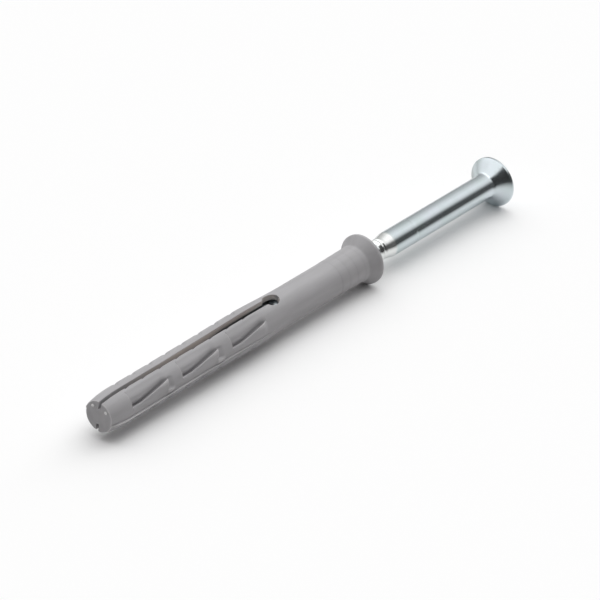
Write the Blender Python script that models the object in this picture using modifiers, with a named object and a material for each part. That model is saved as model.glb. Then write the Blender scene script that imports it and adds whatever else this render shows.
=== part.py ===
"""Hammer-set frame fixing: a slotted nylon sleeve with its drive nail screw set in the mouth.

Both pieces are modelled upright on one axis, with the top face of the sleeve's collar at
height 0, the tip of the sleeve downwards and the head of the nail screw upwards. An empty
then lays the pair down as it lies on a table, on the rims of the collar and of the head.
"""

import math

import bmesh
import bpy
from mathutils import Matrix, Vector

MM = 0.001

# Facets round a turned shape, and the angle of one of them
SIDES = 64
FACET = 2.0 * math.pi / SIDES

# Sleeve, outside
SLEEVE_LENGTH = 105.0 * MM
SLEEVE_RADIUS = 5.0 * MM
COLLAR_RADIUS = 7.0 * MM
COLLAR_LAND = 0.8 * MM
COLLAR_DEPTH = 3.5 * MM
NOSE_RADIUS = 4.4 * MM
NOSE_LENGTH = 7.5 * MM
NOSE_EDGE = 0.2 * MM

# Four low rings that thicken the sleeve step by step below its collar
NECK_RINGS = 4
NECK_RING_PITCH = 3.1 * MM
NECK_RING_STEP = 0.05 * MM
NECK_RING_START = 5.3 * MM

# Sleeve, inside: a seat for the head, a bore for the shank, a narrow bore for the thread
HEAD_SEAT_RADIUS = 6.4 * MM
SHANK_CLEARANCE = 0.1 * MM
THREAD_CLEARANCE = 0.15 * MM
SHANK_BORE_DEPTH = 44.2 * MM
BORE_TAPER = 2.4 * MM
END_PLUG = 2.1 * MM

# Expansion legs: their radius at the tip, and the swelling where the nail screw spreads them
LEG_RADIUS = 5.15 * MM
SWELL_RADIUS = 5.5 * MM
SWELL_DEPTH = 50.0 * MM
SWELL_START = 31.0 * MM
LEG_STRAIGHT = 92.0 * MM
SWELL_STATIONS = 5
LEG_STATIONS = 7

# Slots that part the two legs, and the keyholes that end them
SLOT_WIDTH_TIP = 1.0 * MM
SLOT_WIDTH_KEYHOLE = 1.95 * MM
SLOT_FLOOR = 2.2 * MM
KEYHOLE_DEPTH = 38.6 * MM
KEYHOLE_WIDTH = 4.2 * MM
KEYHOLE_LENGTH = 5.0 * MM

# Barb rings, counted from the one that ends the solid tip
BARBS = 8
BARB_PITCH = 6.45 * MM
TIP_BLOCK = 8.7 * MM
BARB_CUT = 1.0 * MM
BARB_RAMP = 2.4 * MM
BARB_START = 18.5 * FACET
BARB_END = 29.5 * FACET
BARB_FADE = 5.0 * FACET
BARB_STEPS = 11

# Parting line of the legs: two plain quarters stand a little back from the two barbed ones,
# and a thin rib runs along the edge between them. Angles are counted from the slot.
LEDGE = 0.15 * MM
LEDGE_END = 42.0 * MM
LEDGE_ANGLE = 17.9 * FACET
SLOT_SIDE = 0.5 * FACET
RIB_START = 17.6 * FACET
RIB_SPAN = 0.6 * FACET
RIB_PROUD = 0.15 * MM
RIB_ROOT = 0.5 * MM

# Anti-turn fins, three in each plain quarter, each beside a pocket
FINS = 3
FIN_EVERY = 3
FIN_LENGTH = 13.8 * MM
FIN_EDGE_LOW = math.radians(70.0)
FIN_EDGE_HIGH = math.radians(50.0)
FIN_LEVEL = 0.15
FIN_ROOT = math.radians(97.0)
FIN_SUNK = 0.55 * MM
FIN_PROUD = 0.15 * MM
FIN_FOOT = 1.7 * MM
FIN_SLANT = 0.5 * MM
POCKET_START = -1.0 * MM
POCKET_RADIUS = 3.5 * MM
POCKET_SHIFT = 1.3 * MM
POCKET_UNDER = math.radians(4.0)
POCKET_SHELF = math.radians(80.0)
POCKET_CHAMFER = 0.6 * MM
POCKET_OPENING = 1.2 * MM
POCKET_RUNOUT = 1.6 * MM
POCKET_BLEND = 3.0 * MM
POCKET_LIFT = 1.6 * MM
POCKET_STEPS = 12

# Two small nubs on the end face, one on each side of the upper slot
NUB_RADIUS = 0.45 * MM
NUB_PLACE = 3.2 * MM
NUB_ANGLE = math.radians(43.0)
NUB_SUNK = 0.15 * MM

# Nail screw, in the place where it is supplied: its head this far above the collar
HEAD_STANDOFF = 55.0 * MM
HEAD_RADIUS = COLLAR_RADIUS
HEAD_LAND = 0.8 * MM
HEAD_EDGE = 0.1 * MM
HEAD_CONE = 3.1 * MM
SHANK_RADIUS = 3.5 * MM
SHANK_LENGTH = 45.5 * MM
SHANK_CHAMFER = 2.2 * MM
SHANK_CHAMFER_RADIUS = 3.0 * MM
NECK_LAND = 2.0 * MM
NECK_LENGTH = 1.2 * MM
NECK_RADIUS = 2.2 * MM
NAIL_LENGTH = 104.0 * MM
POINT_LENGTH = 1.6 * MM

# Thread of the nail screw: steep towards the head, gentle towards the point
CORE_RADIUS = 2.5 * MM
THREAD_RADIUS = 3.0 * MM
THREAD_PITCH = 3.2 * MM
THREAD_STEPS = 20
THREAD_ROOT = 0.7 * MM
THREAD_STEEP = 0.5 * MM
THREAD_CREST = 0.5 * MM
THREAD_FADE = 0.4
THREAD_OVERRUN = 2.0 * MM

# Cross recess in the head
RECESS_SPAN = 6.6 * MM
RECESS_WIDTH = 1.5 * MM
RECESS_DEPTH = 3.0 * MM
RECESS_TAPER = 0.45
RECESS_TURN = 0.25 * FACET

# Turn of the sleeve on the table: its slot leans this many facets towards the front
SLOT_LEAN = 1.5 * FACET

# Depth of the small flats on which the collar and the head rest
REST_FLAT = 0.07 * MM

# Colours as red, green, blue and alpha
NYLON_GREY = (0.365, 0.36, 0.37, 1.0)
ZINC_SILVER = (0.77, 0.79, 0.82, 1.0)


def polar(radius, angle, height):
    """Point at a radius and an angle round the axis, at a height on it."""
    return Vector((radius * math.cos(angle), radius * math.sin(angle), height))


def material(name, colour, roughness, metallic):
    """One plain Principled BSDF material."""
    made = bpy.data.materials.new(name)
    made.use_nodes = True
    shader = made.node_tree.nodes["Principled BSDF"]
    shader.inputs["Base Color"].default_value = colour
    shader.inputs["Roughness"].default_value = roughness
    shader.inputs["Metallic"].default_value = metallic
    made.diffuse_color = colour
    return made


def place(name, data, collection, parent):
    """New object in a collection, carried by its parent empty."""
    made = bpy.data.objects.new(name, data)
    collection.objects.link(made)
    made.parent = parent
    return made


def shape(name, fill, collection, parent):
    """New mesh object: fill puts its closed solids into an empty bmesh."""
    mesh = bpy.data.meshes.new(name)
    solids = bmesh.new()
    fill(solids)
    bmesh.ops.recalc_face_normals(solids, faces=solids.faces)
    solids.to_mesh(mesh)
    solids.free()
    return place(name, mesh, collection, parent)


def hide(cutter):
    """Show a tool shape as wire only."""
    cutter.hide_render = True
    cutter.display_type = "WIRE"


def turned(name, outline, collection, parent):
    """Solid of revolution: an outline of (radius, height) points turned by a Screw modifier."""
    mesh = bpy.data.meshes.new(name)
    points = [(radius, 0.0, height) for radius, height in outline]
    edges = [(index, index + 1) for index in range(len(points) - 1)]
    mesh.from_pydata(points, edges, [])
    made = place(name, mesh, collection, parent)
    screw = made.modifiers.new("turn", "SCREW")
    screw.axis = "Z"
    screw.steps = SIDES
    screw.render_steps = SIDES
    screw.use_merge_vertices = True
    screw.merge_threshold = 0.00001
    return made


def combine(target, tool, operation):
    """Boolean of one tool shape with the target."""
    boolean = target.modifiers.new(tool.name, "BOOLEAN")
    boolean.operation = operation
    boolean.solver = "EXACT"
    boolean.object = tool
    hide(tool)


def settle(target, finish):
    """Keep the result of the modifiers as the mesh, smooth but for its sharp edges."""
    graph = bpy.context.evaluated_depsgraph_get()
    mesh = bpy.data.meshes.new_from_object(target.evaluated_get(graph))
    target.modifiers.clear()
    target.data = mesh
    mesh.name = target.name
    mesh.materials.clear()
    mesh.materials.append(finish)
    mesh.shade_smooth()
    mesh.set_sharp_from_angle(angle=math.radians(30.0))


def loft(solids, sections):
    """Closed solid through a list of sections, each a ring of as many points."""
    rings = [[solids.verts.new(point) for point in section] for section in sections]
    for ring, following in zip(rings, rings[1:]):
        for index, corner in enumerate(ring):
            after = (index + 1) % len(ring)
            solids.faces.new((corner, ring[after], following[after], following[index]))
    solids.faces.new(rings[0])
    solids.faces.new(rings[-1])


def sector(solids, outline, start, sweep):
    """Closed part of a turned solid: a closed outline swept round the axis from one angle."""
    corners = [solids.verts.new(polar(radius, start, height)) for radius, height in outline]
    face = solids.faces.new(corners)
    bmesh.ops.spin(
        solids,
        geom=[face, *face.edges, *face.verts],
        cent=(0.0, 0.0, 0.0),
        axis=(0.0, 0.0, 1.0),
        angle=sweep,
        steps=max(1, round(sweep / FACET)),
    )


def leg_radius(depth):
    """Outer radius of the sleeve's legs at a depth below the collar's top face."""
    if depth < SWELL_DEPTH:
        share = (depth - SWELL_START) / (SWELL_DEPTH - SWELL_START)
        share = min(max(share, 0.0), 1.0)
        return SLEEVE_RADIUS + (SWELL_RADIUS - SLEEVE_RADIUS) * share * share * (3.0 - 2.0 * share)
    share = min((depth - SWELL_DEPTH) / (LEG_STRAIGHT - SWELL_DEPTH), 1.0)
    radius = LEG_RADIUS + (SWELL_RADIUS - LEG_RADIUS) * (1.0 - share) ** 2
    nose = max(depth - (SLEEVE_LENGTH - NOSE_LENGTH), 0.0) / NOSE_LENGTH
    return radius - (LEG_RADIUS - NOSE_RADIUS) * nose * nose


def spread(first, last, count):
    """Evenly spaced values from first to last."""
    return [first + (last - first) * index / (count - 1) for index in range(count)]


def leg_depths(first, last):
    """Depths at which the legs' outline has a point, between two limits."""
    swell = spread(SWELL_START, SWELL_DEPTH, SWELL_STATIONS)
    legs = spread(SWELL_DEPTH, SLEEVE_LENGTH - NOSE_LENGTH, LEG_STATIONS)[1:]
    nose = spread(SLEEVE_LENGTH - NOSE_LENGTH, SLEEVE_LENGTH - NOSE_EDGE, 4)[1:]
    return [depth for depth in swell + legs + nose if first <= depth <= last]


def sleeve_outline():
    """Half section of the sleeve: from the plug up the bore, over the collar, down to the tip."""
    shank_bore = SHANK_RADIUS + SHANK_CLEARANCE
    thread_bore = THREAD_RADIUS + THREAD_CLEARANCE
    plug = -SLEEVE_LENGTH + END_PLUG
    seat_depth = (HEAD_SEAT_RADIUS - shank_bore) * HEAD_CONE / (HEAD_RADIUS - SHANK_RADIUS)
    outline = [
        (0.0, plug),
        (thread_bore, plug),
        (thread_bore, -SHANK_BORE_DEPTH - BORE_TAPER),
        (shank_bore, -SHANK_BORE_DEPTH),
        (shank_bore, -seat_depth),
        (HEAD_SEAT_RADIUS, 0.0),
        (COLLAR_RADIUS, 0.0),
        (COLLAR_RADIUS, -COLLAR_LAND),
    ]
    neck = SLEEVE_RADIUS + NECK_RINGS * NECK_RING_STEP
    outline.append((neck, -COLLAR_DEPTH))
    for ring in range(NECK_RINGS):
        height = -NECK_RING_START - ring * NECK_RING_PITCH
        outline.append((neck - ring * NECK_RING_STEP, height))
        outline.append((neck - (ring + 1) * NECK_RING_STEP, height - NECK_RING_STEP))
    for depth in leg_depths(0.0, SLEEVE_LENGTH):
        outline.append((leg_radius(depth), -depth))
    outline.append((NOSE_RADIUS - NOSE_EDGE, -SLEEVE_LENGTH))
    outline.append((0.0, -SLEEVE_LENGTH))
    return outline


def barb_height(index):
    """Height of one barb's face, which looks towards the collar."""
    return -SLEEVE_LENGTH + TIP_BLOCK + index * BARB_PITCH


def fill_ledges(solids):
    """Skin taken off the two plain quarters, so that the barbed ones stand proud of them."""
    outside = SWELL_RADIUS + LEDGE
    depths = leg_depths(LEDGE_END, SLEEVE_LENGTH)
    inner = [(leg_radius(depth) - LEDGE, -depth) for depth in depths]
    inner.append((NOSE_RADIUS - NOSE_EDGE - LEDGE, -SLEEVE_LENGTH - LEDGE))
    fade = (leg_radius(LEDGE_END) + 0.1 * LEDGE, -LEDGE_END + LEDGE)
    outline = [(outside, -LEDGE_END + LEDGE), fade, *inner, (outside, -SLEEVE_LENGTH - LEDGE)]
    for turn in (0.0, math.pi):
        sector(solids, outline, turn - SLOT_SIDE, LEDGE_ANGLE + SLOT_SIDE)


def fill_ribs(solids):
    """Thin ribs along the parting line, from the tip to the end of the ledges."""
    depths = leg_depths(LEDGE_END, SLEEVE_LENGTH)
    outer = [(leg_radius(depth) + RIB_PROUD, -depth) for depth in depths]
    inner = [(leg_radius(depth) - RIB_ROOT, -depth) for depth in reversed(depths)]
    sunk = (leg_radius(LEDGE_END) - RIB_ROOT, -LEDGE_END)
    for turn in (0.0, math.pi):
        sector(solids, [sunk, *outer, *inner], turn + RIB_START, RIB_SPAN)


def fill_barb_notches(solids):
    """Sawtooth notches of the two barbed quarters: a square face, then a ramp up to the crest.

    A notch is deepest by the parting line and fades out before it reaches the slot.
    """
    slope = BARB_RAMP / BARB_CUT
    for index in range(BARBS):
        height = barb_height(index)
        crest = leg_radius(-height)
        outside = crest + 2.0 * LEDGE
        for turn in (0.0, math.pi):
            sections = []
            for angle in spread(BARB_START, BARB_END, BARB_STEPS + 1):
                share = min((BARB_END - angle) / BARB_FADE, 1.0)
                floor = crest + LEDGE - (BARB_CUT + LEDGE) * share
                ramp = height + slope * (outside - floor)
                sections.append([
                    polar(floor, angle + turn, height),
                    polar(outside, angle + turn, height),
                    polar(outside, angle + turn, ramp),
                ])
            loft(solids, sections)


def pocket_floor(angle):
    """Radius of a pocket's floor, a small cylinder whose axis lies towards the slot."""
    across = POCKET_SHIFT * math.sin(angle)
    return POCKET_SHIFT * math.cos(angle) + math.sqrt(POCKET_RADIUS ** 2 - across ** 2)


def pocket_section(height, limit, lift, turn):
    """Section of a pocket: its floor, raised by lift, and an arc outside the sleeve."""
    outside = SWELL_RADIUS + 4.0 * LEDGE
    swell = leg_radius(-height) - LEG_RADIUS
    angles = spread(-0.4 * SLOT_SIDE, limit, POCKET_STEPS)
    floor = []
    for angle in angles:
        radius = min(pocket_floor(angle) + swell + lift, outside)
        floor.append(polar(radius, angle + turn, height))
    over = [polar(outside + LEDGE, angle + turn, height) for angle in reversed(angles)]
    return floor + over


def fin_ends(index):
    """Lowest and highest point of one fin's pocket, each close to the face of a barb."""
    low = barb_height(index * FIN_EVERY) + POCKET_START
    high = low + FIN_LENGTH
    return low, high


def fill_pockets(solids):
    """Pockets beside the fins, each with a chamfer at its tip end.

    Those of the free fins open out round the fin's end and run out past it. The last one
    rises gently to the sleeve's surface.
    """
    low_limit = FIN_EDGE_LOW + POCKET_UNDER
    high_limit = FIN_EDGE_HIGH + POCKET_UNDER
    for index in range(FINS):
        low, high = fin_ends(index)
        level = low + FIN_LEVEL * (high - low)
        blend = high_limit + (low_limit - high_limit) * POCKET_BLEND / (high - level)
        for turn in (0.0, math.pi):
            sections = [
                pocket_section(low, low_limit, POCKET_LIFT, turn),
                pocket_section(low + POCKET_CHAMFER, low_limit, 0.0, turn),
                pocket_section(level, low_limit, 0.0, turn),
            ]
            if index < FINS - 1:
                opening = high - POCKET_OPENING
                sections += [
                    pocket_section(opening, high_limit, 0.0, turn),
                    pocket_section(opening + 0.2 * POCKET_RUNOUT, POCKET_SHELF, 0.0, turn),
                    pocket_section(high + 0.2 * POCKET_RUNOUT, POCKET_SHELF, 0.0, turn),
                    pocket_section(high + POCKET_RUNOUT, POCKET_SHELF, POCKET_LIFT, turn),
                ]
            else:
                sections += [
                    pocket_section(high - POCKET_BLEND, blend, 0.0, turn),
                    pocket_section(high, high_limit, POCKET_LIFT, turn),
                ]
            loft(solids, sections)


def fill_fins(solids):
    """Fins: flat wedges rooted along the rib, thin at the tip end, free at the collar end.

    The last fin runs into the sleeve instead of ending free.
    """
    for index in range(FINS):
        low, high = fin_ends(index)
        for turn in (0.0, math.pi):
            sections = []
            for share in (0.0, FIN_LEVEL, 1.0):
                climb = max(share - FIN_LEVEL, 0.0) / (1.0 - FIN_LEVEL)
                edge = FIN_EDGE_LOW + (FIN_EDGE_HIGH - FIN_EDGE_LOW) * climb
                height = low + (high - low) * share
                root = leg_radius(-height)
                tip = root - FIN_SUNK + (FIN_SUNK + FIN_PROUD) * share
                foot = root - FIN_FOOT
                slant = FIN_SLANT if share == 1.0 else 0.0
                if share == 1.0 and index == FINS - 1:
                    height += FIN_SLANT
                    tip -= 2.0 * FIN_PROUD
                middle = 0.5 * (edge + FIN_ROOT)
                sections.append([
                    polar(tip, edge + turn, height),
                    polar(root, FIN_ROOT + turn, height - slant),
                    polar(foot, FIN_ROOT + turn, height - slant),
                    polar(foot, middle + turn, height - 0.5 * slant),
                    polar(foot, edge + turn, height),
                ])
            loft(solids, sections)


def fill_slots(solids):
    """Two slots from the tip to the keyholes, wider where the legs are spread."""
    outside = SWELL_RADIUS + 2.0 * LEDGE
    ends = (
        (-SLEEVE_LENGTH - LEDGE, SLOT_WIDTH_TIP),
        (-KEYHOLE_DEPTH, SLOT_WIDTH_KEYHOLE),
    )
    for side in (1.0, -1.0):
        sections = []
        for height, width in ends:
            half = 0.5 * width
            sections.append([
                Vector((side * SLOT_FLOOR, -half, height)),
                Vector((side * outside, -half, height)),
                Vector((side * outside, half, height)),
                Vector((side * SLOT_FLOOR, half, height)),
            ])
        loft(solids, sections)


def fill_keyholes(solids):
    """Round holes that end the slots, a little longer than they are wide."""
    depth = SWELL_RADIUS + LEDGE - SLOT_FLOOR
    for side in (1.0, -1.0):
        middle = side * (SLOT_FLOOR + 0.5 * depth)
        place_hole = Matrix.Translation((middle, 0.0, -KEYHOLE_DEPTH))
        stretch = Matrix.Diagonal((1.0, 1.0, KEYHOLE_LENGTH / KEYHOLE_WIDTH, 1.0))
        lay_across = Matrix.Rotation(0.5 * math.pi, 4, "Y")
        half_a_side = Matrix.Rotation(FACET, 4, "Z")
        bmesh.ops.create_cone(
            solids,
            cap_ends=True,
            segments=SIDES // 2,
            radius1=0.5 * KEYHOLE_WIDTH,
            radius2=0.5 * KEYHOLE_WIDTH,
            depth=depth,
            matrix=place_hole @ stretch @ lay_across @ half_a_side,
        )


def fill_nubs(solids):
    """Two small domes on the end face."""
    for turn in (-NUB_ANGLE, NUB_ANGLE):
        centre = polar(NUB_PLACE, turn, -SLEEVE_LENGTH + NUB_SUNK)
        bmesh.ops.create_uvsphere(
            solids,
            u_segments=12,
            v_segments=8,
            radius=NUB_RADIUS,
            matrix=Matrix.Translation(centre),
        )


def neck_height():
    """Height at which the nail screw has narrowed from its shank to inside its core."""
    return HEAD_STANDOFF - SHANK_LENGTH - SHANK_CHAMFER - NECK_LAND - NECK_LENGTH


def nail_outline():
    """Half section of the nail screw above its threaded core, from the head down."""
    top = HEAD_STANDOFF
    shank_end = top - SHANK_LENGTH
    return [
        (0.0, top),
        (HEAD_RADIUS - HEAD_EDGE, top),
        (HEAD_RADIUS, top - HEAD_EDGE),
        (HEAD_RADIUS, top - HEAD_LAND),
        (SHANK_RADIUS, top - HEAD_LAND - HEAD_CONE),
        (SHANK_RADIUS, shank_end),
        (SHANK_CHAMFER_RADIUS, shank_end - SHANK_CHAMFER),
        (SHANK_CHAMFER_RADIUS, shank_end - SHANK_CHAMFER - NECK_LAND),
        (NECK_RADIUS, neck_height()),
        (0.0, neck_height()),
    ]


def fill_threaded_core(solids):
    """Core and thread in one skin: the outline of one pitch, wound down round the axis.

    Each turn's last corner is the first corner of the turn below it. The top is closed
    inside the shank, and the bottom runs to the point.
    """
    first = neck_height() + THREAD_OVERRUN
    last = HEAD_STANDOFF - NAIL_LENGTH + POINT_LENGTH + THREAD_PITCH
    steps = round((first - last) / THREAD_PITCH * THREAD_STEPS)
    crest_top = THREAD_ROOT + THREAD_STEEP
    outline = [(0.0, 0.0), (0.0, THREAD_ROOT), (1.0, crest_top), (1.0, crest_top + THREAD_CREST)]

    def corner(step, share, drop):
        left = min(step, steps - step) / THREAD_STEPS
        ridge = share * min(max(left, 0.0) / THREAD_FADE, 1.0)
        radius = CORE_RADIUS + (THREAD_RADIUS - CORE_RADIUS) * ridge
        turn = step / THREAD_STEPS
        return polar(radius, -2.0 * math.pi * turn, first - THREAD_PITCH * turn - drop)

    columns = []
    for step in range(steps + 1):
        columns.append([solids.verts.new(corner(step, *point)) for point in outline])
    for step in range(steps + 1, steps + 1 + THREAD_STEPS):
        columns.append([solids.verts.new(corner(step, *outline[0]))])
    for step in range(steps + 1):
        columns[step].append(columns[step + THREAD_STEPS][0])
    for column, following in zip(columns[:steps], columns[1:]):
        for index in range(len(outline)):
            upper = (column[index], following[index])
            lower = (following[index + 1], column[index + 1])
            solids.faces.new((*upper, *lower))
    ends = (
        (0, solids.verts.new((0.0, 0.0, first))),
        (steps, solids.verts.new((0.0, 0.0, HEAD_STANDOFF - NAIL_LENGTH))),
    )
    for start, centre in ends:
        spiral = [columns[step][0] for step in range(start, start + THREAD_STEPS)]
        rim = spiral + columns[start][:0:-1]
        for index, here in enumerate(rim):
            solids.faces.new((here, rim[(index + 1) % len(rim)], centre))


def fill_recess(solids):
    """Cross recess: a cross outline that narrows towards its floor."""
    sections = []
    for depth, scale in ((-HEAD_EDGE, 1.0), (RECESS_DEPTH, RECESS_TAPER)):
        reach = 0.5 * RECESS_SPAN * scale
        half = 0.5 * RECESS_WIDTH * (0.5 + 0.5 * scale)
        section = []
        for quarter in range(4):
            turn = Matrix.Rotation(0.5 * math.pi * quarter + RECESS_TURN, 3, "Z")
            for x, y in ((reach, -half), (reach, half), (half, half)):
                section.append(turn @ Vector((x, y, HEAD_STANDOFF - depth)))
        sections.append(section)
    loft(solids, sections)


def fill_table(solids):
    """Slab under the rims, down from the flats on which they rest."""
    rest = Vector((COLLAR_RADIUS - REST_FLAT, 0.0, 0.0))
    size = Vector((2.0 * COLLAR_RADIUS, 2.0 * COLLAR_RADIUS, 4.0 * SLEEVE_LENGTH))
    middle = rest + Vector((0.5 * size.x, 0.0, 0.0))
    place_slab = Matrix.Translation(middle) @ Matrix.Diagonal((*size, 1.0))
    bmesh.ops.create_cube(solids, size=1.0, matrix=place_slab)


def build_sleeve(parts, cutters, parent):
    """Sleeve: moulded in one piece from grey nylon."""
    sleeve = turned("sleeve", sleeve_outline(), parts, parent)
    combine(sleeve, shape("ledge_cutter", fill_ledges, cutters, parent), "DIFFERENCE")
    combine(sleeve, shape("barb_cutter", fill_barb_notches, cutters, parent), "DIFFERENCE")
    combine(sleeve, shape("pocket_cutter", fill_pockets, cutters, parent), "DIFFERENCE")
    combine(sleeve, shape("fin_wedges", fill_fins, cutters, parent), "UNION")
    combine(sleeve, shape("parting_ribs", fill_ribs, cutters, parent), "UNION")
    combine(sleeve, shape("slot_cutter", fill_slots, cutters, parent), "DIFFERENCE")
    combine(sleeve, shape("keyhole_cutter", fill_keyholes, cutters, parent), "DIFFERENCE")
    combine(sleeve, shape("end_nubs", fill_nubs, cutters, parent), "UNION")
    return sleeve


def build_nail_screw(parts, cutters, parent):
    """Nail screw: cold forged steel with a rolled thread, zinc plated."""
    nail = turned("nail_screw", nail_outline(), parts, parent)
    combine(nail, shape("threaded_core", fill_threaded_core, cutters, parent), "UNION")
    combine(nail, shape("recess_cutter", fill_recess, cutters, parent), "DIFFERENCE")
    return nail


def clear_scene():
    """Remove every object of the open scene."""
    for old in list(bpy.data.objects):
        bpy.data.objects.remove(old, do_unlink=True)


def new_collection(name):
    """Collection linked to the scene."""
    made = bpy.data.collections.new(name)
    bpy.context.scene.collection.children.link(made)
    return made


clear_scene()
fixing_parts = new_collection("frame_fixing")
tool_shapes = new_collection("tool_shapes")

# The pair lies along X, the head towards +X, on the flats of the two rims, with the frame's
# origin on the table under the middle of its length
lying = place("lying_frame", None, fixing_parts, None)
lying.location = (
    0.5 * (SLEEVE_LENGTH + NUB_RADIUS - NUB_SUNK - HEAD_STANDOFF),
    0.0,
    COLLAR_RADIUS - REST_FLAT,
)
lying.rotation_euler = (0.0, 0.5 * math.pi, 0.0)

sleeve_turn = place("sleeve_turn", None, fixing_parts, lying)
sleeve_turn.rotation_euler = (0.0, 0.0, math.pi + SLOT_LEAN)

# The nail screw slides along this empty's own Z axis
nail_slide = place("nail_slide", None, fixing_parts, lying)
nail_slide.rotation_euler = (0.0, 0.0, 0.5 * FACET)

sleeve_object = build_sleeve(fixing_parts, tool_shapes, sleeve_turn)
nail_object = build_nail_screw(fixing_parts, tool_shapes, nail_slide)
table = shape("table_slab", fill_table, tool_shapes, lying)
combine(sleeve_object, table, "DIFFERENCE")
combine(nail_object, table, "DIFFERENCE")
settle(sleeve_object, material("grey_nylon", NYLON_GREY, 0.55, 0.0))
settle(nail_object, material("zinc_plated_steel", ZINC_SILVER, 0.28, 1.0))
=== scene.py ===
import math

import bmesh
import bpy
import numpy as np
from mathutils import Matrix, Vector


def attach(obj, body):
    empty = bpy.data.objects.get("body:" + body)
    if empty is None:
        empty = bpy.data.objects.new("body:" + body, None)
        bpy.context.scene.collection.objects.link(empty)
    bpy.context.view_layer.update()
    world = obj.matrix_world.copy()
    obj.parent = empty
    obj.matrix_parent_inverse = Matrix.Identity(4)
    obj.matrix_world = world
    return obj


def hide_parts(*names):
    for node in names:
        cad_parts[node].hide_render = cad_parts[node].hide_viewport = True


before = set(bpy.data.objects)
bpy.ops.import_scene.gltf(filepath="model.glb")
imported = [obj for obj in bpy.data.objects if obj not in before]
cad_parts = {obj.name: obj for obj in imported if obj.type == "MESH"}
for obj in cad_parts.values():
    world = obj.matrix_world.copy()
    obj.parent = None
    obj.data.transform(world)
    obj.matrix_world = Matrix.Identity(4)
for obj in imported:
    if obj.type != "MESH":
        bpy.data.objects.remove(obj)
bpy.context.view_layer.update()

# The sleeve is one injection moulding of grey nylon: a round countersunk collar, a plain neck with
# four low rings, and two legs parted by slots that end in keyholes. Barbs, fins and a thin rib are
# moulded on the legs, and two stubs stand on the end face.

# The axis that sleeve and nail share runs along X. Sizes are in millimetres: heights count along the
# axis from the collar's top face towards the head, so they are negative down the sleeve. Angles are
# in degrees from the middle of the slot, which leans from upright.
MM = 0.001
AXIS_X = 25.15
AXIS_Z = 6.93
LEAN = 8.4375

# Tip: the end face, where its rounded rim is over, and the stubs on the face
END = -105.0
RIM = -104.7
STUB_HEIGHT = -104.62
STUB_OUT = 3.2
STUB_TURN = 43.0
STUB_SIZE = 0.67

# Bore: its bottom, and its radius in the tip zone and in the neck
PLUG = -102.9
TIP_BORE = 3.15
NECK_BORE = 3.6

# Slot: the keyhole, the slot's depth in the solid tip, and the roundings of its near and far edge
KEYHOLE = -38.6
KEYHOLE_HALF = 2.1
KEYHOLE_REACH = 2.5
KEYHOLE_END = KEYHOLE + KEYHOLE_REACH
SLOT_FLOOR = 2.2
LIP = 0.12
FAR_LIP = 0.24

# Barbs: the pitch, the square faces, the depth and the slope of the notches, and how far the quarter
# with the fins lies below the barbs' crests
PITCH_OF_BARBS = 6.45
BARB_FACES = np.round(-96.3 + PITCH_OF_BARBS * np.arange(8), 4)
BARB_DEPTH = 1.0
BARB_SLOPE = 2.4
LEDGE = 0.15

# Fins, one to each third barb: their low ends, their length, the angle of their root, which of them
# have a free end, and how far the recess and the shelf beyond a free end go
FIN_LOWS = np.round(-97.3 + 3.0 * PITCH_OF_BARBS * np.arange(3), 4)
FIN_LENGTH = 13.8
FIN_ROOT = 92.0
FIN_FREE = np.array([1.0, 1.0, 0.0])
FIN_RECESS = 2.4

# Rib on the parting line: its width, and the strip of the skin that holds it
RIB_WIDTH = 3.7
RIB_STRIP = 3.8

# Rings of the neck, from the lowest up, each with a step of the radius
RINGS = np.round(np.linspace(-14.3, -5.05, 4), 2)
RING_STEP = 0.05


def smooth(low, high, value):
    """0 up to low, 1 from high on, and between them the cubic 3t2 - 2t3 of the share t."""
    share = np.clip((value - low) / (high - low), 0.0, 1.0)
    return share * share * (3.0 - 2.0 * share)


def round_fall(share):
    """Fall of a quarter circle at a share t of its size past its top, as a share of its size: 1 less
    the root of 1 - t2."""
    return 1.0 - np.sqrt(1.0 - share ** 2)


def leg_radius(height):
    """Radius of the legs: 5 mm, swelling by a cubic to 5.5 at 50 mm down, back by a square to
    5.15 at 92 mm, and less by a square over the last 7.5 mm."""
    depth = -height
    swell = 5.0 + 0.5 * smooth(31.0, 50.0, depth)
    left = 1.0 - np.minimum((depth - 50.0) / 42.0, 1.0)
    nose = np.maximum(depth - 97.5, 0.0) / 7.5
    return np.where(depth < 50.0, swell, 5.15 + 0.35 * left * left - 0.75 * nose * nose)


def slot_half(height):
    """Half width of the slot: slowly wider over the tip zone, quicker over the spread part of the
    legs, and the half ellipse of the keyhole at its end."""
    straight = np.interp(height, (END, -82.0, -58.0, KEYHOLE), (0.42, 0.53, 0.8, 0.975))
    share = np.clip((height - KEYHOLE) / KEYHOLE_REACH, -1.0, 1.0)
    ellipse = KEYHOLE_HALF * np.sqrt(np.maximum(1.0 - share * share, 0.0))
    return np.where(height > KEYHOLE, ellipse, np.maximum(straight, ellipse))


def bore_radius(height):
    """Radius of the bore: 3.15 mm in the tip zone, wider by a cubic to 3.95 mm where the legs are
    spread, and back to 3.6 mm at the keyhole."""
    return TIP_BORE + 0.8 * smooth(-64.0, -56.0, height) - 0.35 * smooth(-43.0, -37.5, height)


def barb_cut(height, angle):
    """Depth of the sawtooth notches: deepest at each square face, less by 1 mm for each 2.4 mm
    towards the collar, and less round the leg over the last 28 degrees before the slot. Each
    square face has a worn edge, 0.05 mm deep."""
    share = np.clip((165.9 - angle) / 28.1, 0.0, 1.0)
    deep = (BARB_DEPTH + LEDGE) * share - LEDGE
    past = height[..., None] - BARB_FACES
    notch = np.where(past > 0.01, deep[..., None] - past / BARB_SLOPE, 0.0)
    worn = 0.05 * share[..., None] * np.clip((past + 0.05) / 0.05, 0.0, 1.0) * (past < 0.01)
    return np.maximum(notch, worn).max(axis=-1) * (angle > 104.0)


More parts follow.
